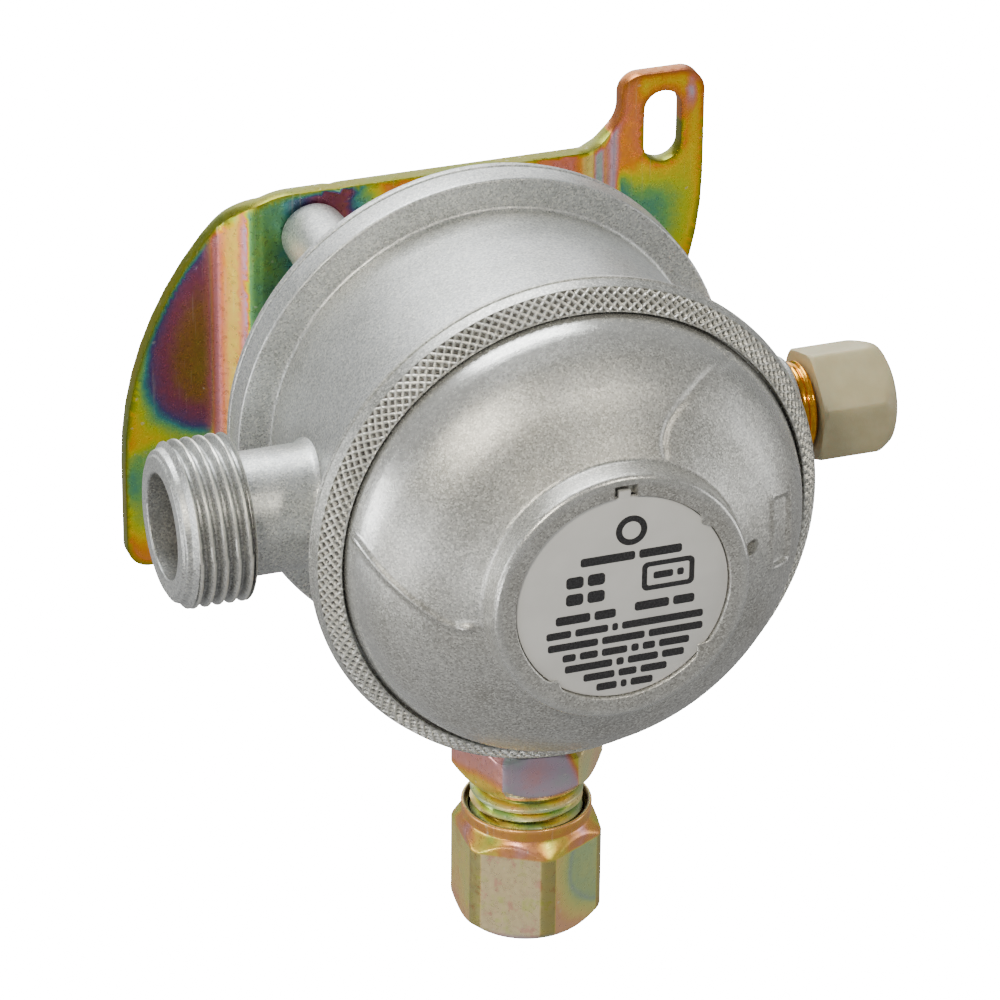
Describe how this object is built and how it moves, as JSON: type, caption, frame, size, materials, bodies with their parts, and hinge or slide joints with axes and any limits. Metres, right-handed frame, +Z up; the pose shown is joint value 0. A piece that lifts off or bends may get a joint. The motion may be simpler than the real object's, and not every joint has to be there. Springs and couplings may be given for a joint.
{
  "type": "gas pressure regulator",
  "caption": "Wall-mounted two-stage low-pressure gas regulator with round cast body, side inlet thread, compression outlet below, capped test point and joggled bracket.",
  "frame": {"origin": "on the wall plane, where the round body's own axis meets it", "axes": "+Z up, +Y into the wall, -Y out of the front cover, -X out of the inlet, +X out of the test point, -Z out of the outlet"},
  "size_m": [0.0929, 0.0772, 0.0919],
  "materials": {
    "cast_paint": "satin silver spray over zinc casting",
    "label_metal": "matt foil",
    "yellow_zinc": "yellow passivated zinc with rainbow tints",
    "bright_zinc": "bright zinc",
    "spring_steel": "drawn and pressed steel",
    "brass_metal": "machined",
    "cap_plastic": "moulded beige grey",
    "acetal": "moulded white",
    "black_rubber": "nitrile rubber",
    "sintered_bronze": "porous sinter"
  },
  "bodies": {
    "root": {"main_body": "cast_paint", "front_cover": "cast_paint", "label_plate": "label_metal", "rear_cover": "cast_paint", "bracket": "yellow_zinc", "bracket_screw_1": "bright_zinc", "bracket_screw_2": "bright_zinc", "bracket_screw_3": "bright_zinc", "bracket_screw_4": "bright_zinc", "outlet_nipple": "yellow_zinc", "outlet_seal_ring": "black_rubber", "test_nipple": "brass_metal", "inlet_filter": "sintered_bronze", "front_lever_pin": "spring_steel", "rear_lever_pin": "spring_steel", "front_nozzle": "brass_metal", "rear_nozzle": "brass_metal", "front_diaphragm": "black_rubber", "rear_diaphragm": "black_rubber", "front_spring": "spring_steel", "rear_spring": "spring_steel", "front_relief_spring": "spring_steel"},
    "front_stem_body": {"front_stem": "brass_metal", "front_relief_washer": "bright_zinc"},
    "front_plate_body": {"front_diaphragm_plate": "bright_zinc"},
    "front_lever_body": {"front_lever": "spring_steel"},
    "front_valve_body": {"front_valve_holder": "acetal", "front_valve_pad": "black_rubber"},
    "front_washer_body": {"front_spring_washer": "spring_steel"},
    "front_adjuster_body": {"front_adjuster": "acetal"},
    "rear_stem_body": {"rear_stem": "brass_metal", "rear_diaphragm_plate": "bright_zinc", "rear_stem_nut": "bright_zinc"},
    "rear_lever_body": {"rear_lever": "spring_steel"},
    "rear_valve_body": {"rear_valve_holder": "acetal", "rear_valve_pad": "black_rubber"},
    "rear_washer_body": {"rear_spring_washer": "spring_steel"},
    "rear_adjuster_body": {"rear_adjuster": "bright_zinc"},
    "olive_body": {"olive": "brass_metal"},
    "outlet_nut_body": {"outlet_nut": "yellow_zinc"},
    "cap_washer_body": {"cap_washer": "black_rubber"},
    "test_cap_body": {"test_cap": "cap_plastic"}
  },
  "joints": [
    {"name": "front_stem_slide", "type": "slide", "parent": "root", "child": "front_stem_body", "axis": [0, -1, 0], "range_m": [0, 0.0014], "stiffness_N_per_m": 1500, "springref_m": -0.001, "deforming": ["front_spring", "front_diaphragm"]},
    {"name": "front_relief_slide", "type": "slide", "parent": "front_stem_body", "child": "front_plate_body", "axis": [0, -1, 0], "range_m": [0, 0.001], "stiffness_N_per_m": 500, "springref_m": -0.001, "deforming": ["front_relief_spring"]},
    {"name": "front_lever_hinge", "type": "hinge", "parent": "root", "child": "front_lever_body", "pos_m": [0.009, -0.0491, 0], "axis": [0, 0, 1], "range_deg": [0, 9]},
    {"name": "front_valve_slide", "type": "slide", "parent": "root", "child": "front_valve_body", "axis": [1, 0, 0], "range_m": [0, 0.00055]},
    {"name": "front_washer_slide", "type": "slide", "parent": "root", "child": "front_washer_body", "axis": [0, 1, 0], "range_m": [-0.001, 0.001]},
    {"name": "front_adjuster_turn", "type": "hinge", "parent": "front_washer_body", "child": "front_adjuster_body", "pos_m": [0, -0.071, 0], "axis": [0, 1, 0], "range_deg": [-361, 361]},
    {"name": "rear_stem_slide", "type": "slide", "parent": "root", "child": "rear_stem_body", "axis": [0, 1, 0], "range_m": [0, 0.0014], "stiffness_N_per_m": 1500, "springref_m": -0.001, "deforming": ["rear_spring", "rear_diaphragm"]},
    {"name": "rear_lever_hinge", "type": "hinge", "parent": "root", "child": "rear_lever_body", "pos_m": [-0.009, -0.0343, 0], "axis": [0, 0, 1], "range_deg": [0, 9]},
    {"name": "rear_valve_slide", "type": "slide", "parent": "root", "child": "rear_valve_body", "axis": [-1, 0, 0], "range_m": [0, 0.00055]},
    {"name": "rear_washer_slide", "type": "slide", "parent": "root", "child": "rear_washer_body", "axis": [0, 1, 0], "range_m": [-0.001, 0.001]},
    {"name": "rear_adjuster_turn", "type": "hinge", "parent": "rear_washer_body", "child": "rear_adjuster_body", "pos_m": [0, -0.0152, 0], "axis": [0, 1, 0], "range_deg": [-361, 361]},
    {"name": "olive_slide", "type": "slide", "parent": "root", "child": "olive_body", "axis": [0, 0, 1], "range_m": [-0.009, 0.00075]},
    {"name": "outlet_nut_turn", "type": "hinge", "parent": "olive_body", "child": "outlet_nut_body", "pos_m": [0, -0.0457, -0.0526], "axis": [0, 0, 1], "range_deg": [-2162, 181]},
    {"name": "cap_washer_slide", "type": "slide", "parent": "root", "child": "cap_washer_body", "axis": [1, 0, 0], "range_m": [0, 0.006]},
    {"name": "test_cap_turn", "type": "hinge", "parent": "cap_washer_body", "child": "test_cap_body", "pos_m": [0.0427, -0.03915, 0], "axis": [1, 0, 0], "range_deg": [-1, 2161]}
  ],
  "couplings": [
    {"joint": "front_lever_hinge", "follows": "front_stem_slide", "rad_per_m": 111.11},
    {"joint": "front_valve_slide", "follows": "front_stem_slide", "ratio": 0.38889},
    {"joint": "front_adjuster_turn", "follows": "front_washer_slide", "rad_per_m": 6283.2},
    {"joint": "rear_lever_hinge", "follows": "rear_stem_slide", "rad_per_m": 111.11},
    {"joint": "rear_valve_slide", "follows": "rear_stem_slide", "ratio": 0.38889},
    {"joint": "rear_adjuster_turn", "follows": "rear_washer_slide", "rad_per_m": 6283.2},
    {"joint": "outlet_nut_turn", "follows": "olive_slide", "rad_per_m": 4188.8},
    {"joint": "test_cap_turn", "follows": "cap_washer_slide", "rad_per_m": 6283.2}
  ]
}
